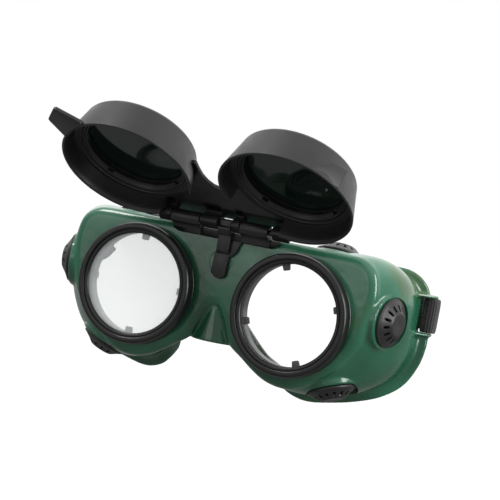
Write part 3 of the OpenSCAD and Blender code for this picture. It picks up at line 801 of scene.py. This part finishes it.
WRAP_R = 2.85
BAND_Z = 10.5
WRAP = [(STRAP_BAR[0] + dx, STRAP_BAR[1] + dy, BAND_Z, 0) for dx, dy in (
    (-WRAP_R, 3.5), (-WRAP_R, 0), (-WRAP_R * 0.7, -WRAP_R * 0.7), (0, -WRAP_R),
    (WRAP_R * 0.7, -WRAP_R * 0.7), (WRAP_R, 0), (WRAP_R, 3), (1.2, 7))]
LEFT_RUN = [(87, 60, 11, 2), (78, 60, 12, 8), (70, 58, 17, 24), (60, 54, 22.5, 48),
            (46, 49.5, 27.8, 75), (32, 46.5, 30.2, 88), (20, 45.8, 30.6, 90), (0, 45.8, 30.6, 90)]
RIGHT_RUN = [(-20, 45.8, 30.6, 90), (-32, 46.5, 30.8, 88), (-48, 50.5, 30, 84),
             (-64, 55, 27.5, 68), (-77, 59, 23, 42), (-85, 60, 17, 18), (-88, 58, 12, 3)]


def open_spline(keys, steps):
    k = np.array(keys, float)
    n = len(k)
    out = []
    for i in range(n - 1):
        a, b, c, d = k[max(i - 1, 0)], k[i], k[i + 1], k[min(i + 2, n - 1)]
        for s in range(steps):
            t = s / steps
            out.append(0.5 * (2 * b + (c - a) * t + (2 * a - 5 * b + 4 * c - d) * t * t
                              + (3 * b - a - 3 * c + d) * t ** 3))
    return np.array(out + [k[-1]])


def headband():
    """Woven elastic: a flat ribbon with rounded selvedges and a slightly slack weave."""
    far = [(-x, y, z, lean) for x, y, z, lean in reversed(WRAP)]
    path = open_spline(WRAP + LEFT_RUN + RIGHT_RUN + far, 9)
    at = path[:, :3]
    n = len(at)
    half_w, half_t, across = 8.0, 0.75, 28
    section = []
    for k in range(across):
        a = 2 * math.pi * k / across
        x = math.copysign(abs(math.cos(a)) ** 0.35, math.cos(a))
        y = math.copysign(abs(math.sin(a)) ** 0.7, math.sin(a))
        section.append((x * half_w, y * half_t))
    verts, uvs, run = [], [], 0.0
    for i in range(n):
        if i:
            run += float(np.linalg.norm(at[i] - at[i - 1]))
        d = at[min(i + 1, n - 1)] - at[max(i - 1, 0)]
        d /= np.linalg.norm(d)
        lean = math.radians(path[i, 3])
        wide = np.array([0, math.sin(lean), math.cos(lean)])
        normal = np.cross(d, wide)
        normal /= np.linalg.norm(normal)
        wide = np.cross(normal, d)
        for x, y in section:
            verts.append(tuple(at[i] + wide * x + normal * y))
            uvs.append((run * 0.001, x * 0.001))
    faces = [(i * across + k, i * across + (k + 1) % across,
              (i + 1) * across + (k + 1) % across, (i + 1) * across + k)
             for i in range(n - 1) for k in range(across)]
    faces += [tuple(range(across))[::-1], tuple((n - 1) * across + k for k in range(across))]
    ob = build("elastic_band", verts, faces, None, WEBBING, None, 45)
    layer = ob.data.uv_layers.new(name="UVMap")
    index = np.empty(len(ob.data.loops), dtype=np.int32)
    ob.data.loops.foreach_get("vertex_index", index)
    layer.data.foreach_set("uv", np.array(uvs, dtype=np.float32)[index].ravel())
    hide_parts("headband")
    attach(ob, "mask")


headband()


# --- CAD pieces that keep their shape ---------------------------------------------

def repaint(node, material):
    ob = NODES[node]
    ob.data.materials.clear()
    ob.data.materials.append(material)


repaint("headband_slider", BLACK)
repaint("bracket_rivets", BLACK)
for side in SIDES:
    repaint("hinge_pin_" + side, STEEL)
    repaint("eye_gasket_" + side, RUBBER)
    repaint("shade_gasket_" + side, RUBBER)
    for place in VENTS:
        repaint("vent_valve_%s_%s" % (place, side), RUBBER)


# --- camera, light and floor -----------------------------------------------

cam = bpy.data.objects.new("camera", bpy.data.cameras.new("camera"))
bpy.context.scene.collection.objects.link(cam)
az, el, roll = 0.383, 0.031, 0.185
CAM_DISTANCE = 1.00662
CAM_LENS = 158.74
back = Vector((math.sin(az) * math.cos(el), -math.cos(az) * math.cos(el), math.sin(el)))
level = Vector((0, 0, 1)).cross(back).normalized()
upright = back.cross(level)
right = math.cos(roll) * level + math.sin(roll) * upright
up = -math.sin(roll) * level + math.cos(roll) * upright
target = Vector((0.015713, -DEPTH / 1000, 0.025811))
cam.matrix_world = Matrix.Translation(target + back * CAM_DISTANCE) @ Matrix(
    (right, up, back)).transposed().to_4x4()
cam.data.lens = CAM_LENS
cam.data.sensor_width = 36
cam.data.clip_start = 0.05
bpy.context.scene.camera = cam

# The studio: a broad soft glow from above, behind and the sides, little from the
# front and below, and a white backdrop that only the camera sees.
world = bpy.data.worlds.new("studio")
world.use_nodes = True
bpy.context.scene.world = world
wt = world.node_tree
wb = wt.nodes["Background"]
wb.inputs["Color"].default_value = (1, 1, 1, 1)
sky = wt.nodes.new("ShaderNodeTexCoord")
sep = wt.nodes.new("ShaderNodeSeparateXYZ")
wt.links.new(sky.outputs["Generated"], sep.inputs[0])


def world_math(op, a, b):
    n = wt.nodes.new("ShaderNodeMath")
    n.operation = op
    for k, value in enumerate((a, b)):
        if isinstance(value, bpy.types.NodeSocket):
            wt.links.new(value, n.inputs[k])
        else:
            n.inputs[k].default_value = value
    return n.outputs[0]


def world_span(value, a, b, c, d):
    n = wt.nodes.new("ShaderNodeMapRange")
    n.interpolation_type = "SMOOTHSTEP"
    wt.links.new(value, n.inputs["Value"])
    for key, number in (("From Min", a), ("From Max", b), ("To Min", c), ("To Max", d)):
        n.inputs[key].default_value = number
    return n.outputs["Result"]


SKY_LOW, SKY_TOP, BACK_GLOW = 0.42, 1.15, 0.75
overhead = world_span(sep.outputs["Z"], -0.05, 0.85, SKY_LOW, SKY_TOP)
behind = world_span(sep.outputs["Y"], 0.0, 0.9, 0.0, BACK_GLOW)
glow = world_math("ADD", overhead, behind)
seen = wt.nodes.new("ShaderNodeLightPath")
pick = wt.nodes.new("ShaderNodeMix")
wt.links.new(seen.outputs["Is Camera Ray"], pick.inputs["Factor"])
wt.links.new(glow, pick.inputs["A"])
pick.inputs["B"].default_value = 1.0
wt.links.new(pick.outputs["Result"], wb.inputs["Strength"])

bpy.context.scene.view_settings.view_transform = "Standard"


def area_light(name, at, aim, size, power):
    data = bpy.data.lights.new(name, "AREA")
    data.shape = "RECTANGLE"
    data.size, data.size_y = size
    data.energy = power
    ob = bpy.data.objects.new(name, data)
    ob.matrix_world = (Matrix.Translation(at)
                       @ (Vector(aim) - Vector(at)).to_track_quat("-Z", "Y").to_matrix().to_4x4())
    ob.visible_camera = False
    bpy.context.scene.collection.objects.link(ob)


area_light("key", (-0.6, -0.5, 0.95), (0, 0, 0.02), (0.45, 0.45), 7)
area_light("front", (-0.373, -0.98, -0.03), (0, -0.05, 0.0), (0.6, 0.5), 0.9)
area_light("side", (0.95, -0.25, 0.3), (0.05, 0, 0), (0.35, 0.7), 7)

floor_mesh = bpy.data.meshes.new("floor")
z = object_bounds()[0][2] - 0.0005
floor_mesh.from_pydata([(-6, -6, z), (6, -6, z), (6, 6, z), (-6, 6, z)], [], [(0, 1, 2, 3)])
floor = bpy.data.objects.new("floor", floor_mesh)
bpy.context.scene.collection.objects.link(floor)
pale = Mat("floor", Roughness=1.0)
pale.b.inputs["Specular IOR Level"].default_value = 0.0
pale.set("Base Color", pale.ramp(pale.noise(3, 2), [(0.3, (0.055,) * 3), (0.7, (0.07,) * 3)]))
pale.b.inputs["Emission Color"].default_value = (1, 1, 1, 1)
ray = pale.node("ShaderNodeLightPath").outputs["Is Camera Ray"]
pale.set("Emission Strength", pale.span(ray, 0, 1, 0.22, 1.0))
floor.data.materials.append(pale.m)
